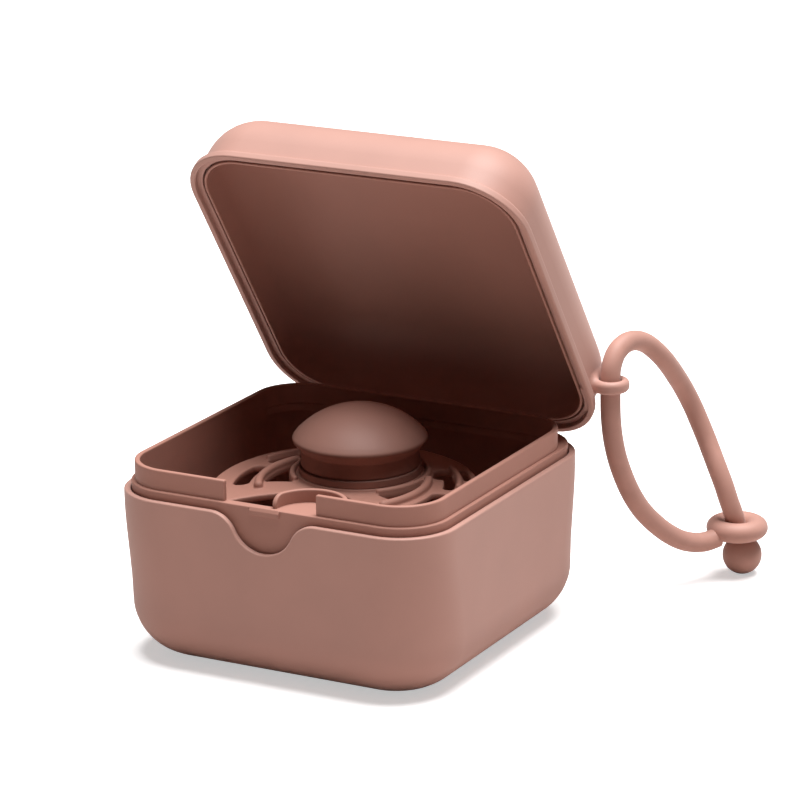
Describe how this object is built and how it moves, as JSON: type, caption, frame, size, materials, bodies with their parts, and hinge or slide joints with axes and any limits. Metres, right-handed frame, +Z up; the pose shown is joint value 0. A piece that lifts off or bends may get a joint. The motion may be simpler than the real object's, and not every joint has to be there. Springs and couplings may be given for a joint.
{
  "type": "pacifier sterilizer case",
  "caption": "Square hinged carry case with a lined shell, a lift-out slotted tray with a mushroom knob, and a looped strap on its lid.",
  "frame": {"origin": "middle of the flat underside of the base, on the surface that it stands on", "axes": "+Z up, -Y towards the front with the thumb scallop and the lid's opening, +X to the right, where the strap's eyelet is"},
  "size_m": [0.1205, 0.1307, 0.1225],
  "materials": {
    "shell_plastic": "fine matte moulded polypropylene, dusty rose",
    "liner_plastic": "satin moulded polypropylene, dusty rose",
    "tray_plastic": "satin moulded polypropylene, deeper rose",
    "knob_plastic": "satin moulded polypropylene, deeper rose",
    "hinge_steel": "drawn stainless steel",
    "strap_silicone": "soft matte silicone, dusty rose"
  },
  "bodies": {
    "base": {"base_shell": "shell_plastic", "base_liner": "liner_plastic", "hinge_pin": "hinge_steel"},
    "insert": {"tray_plate": "tray_plastic", "tray_column": "tray_plastic", "lift_knob": "knob_plastic"},
    "lid": {"lid_shell": "shell_plastic", "lid_liner": "liner_plastic", "strap_lower": "strap_silicone", "strap_upper": "strap_silicone", "strap_eye": "strap_silicone", "strap_ball": "strap_silicone"}
  },
  "joints": [
    {"name": "lid_hinge", "type": "hinge", "parent": "base", "child": "lid", "pos_m": [0, 0.04525, 0.0409], "axis": [-1, 0, 0], "range_deg": [-55.6, 40]},
    {"name": "insert_lift", "type": "slide", "parent": "base", "child": "insert", "axis": [0, 0, 1], "range_m": [0, 0.004]}
  ]
}
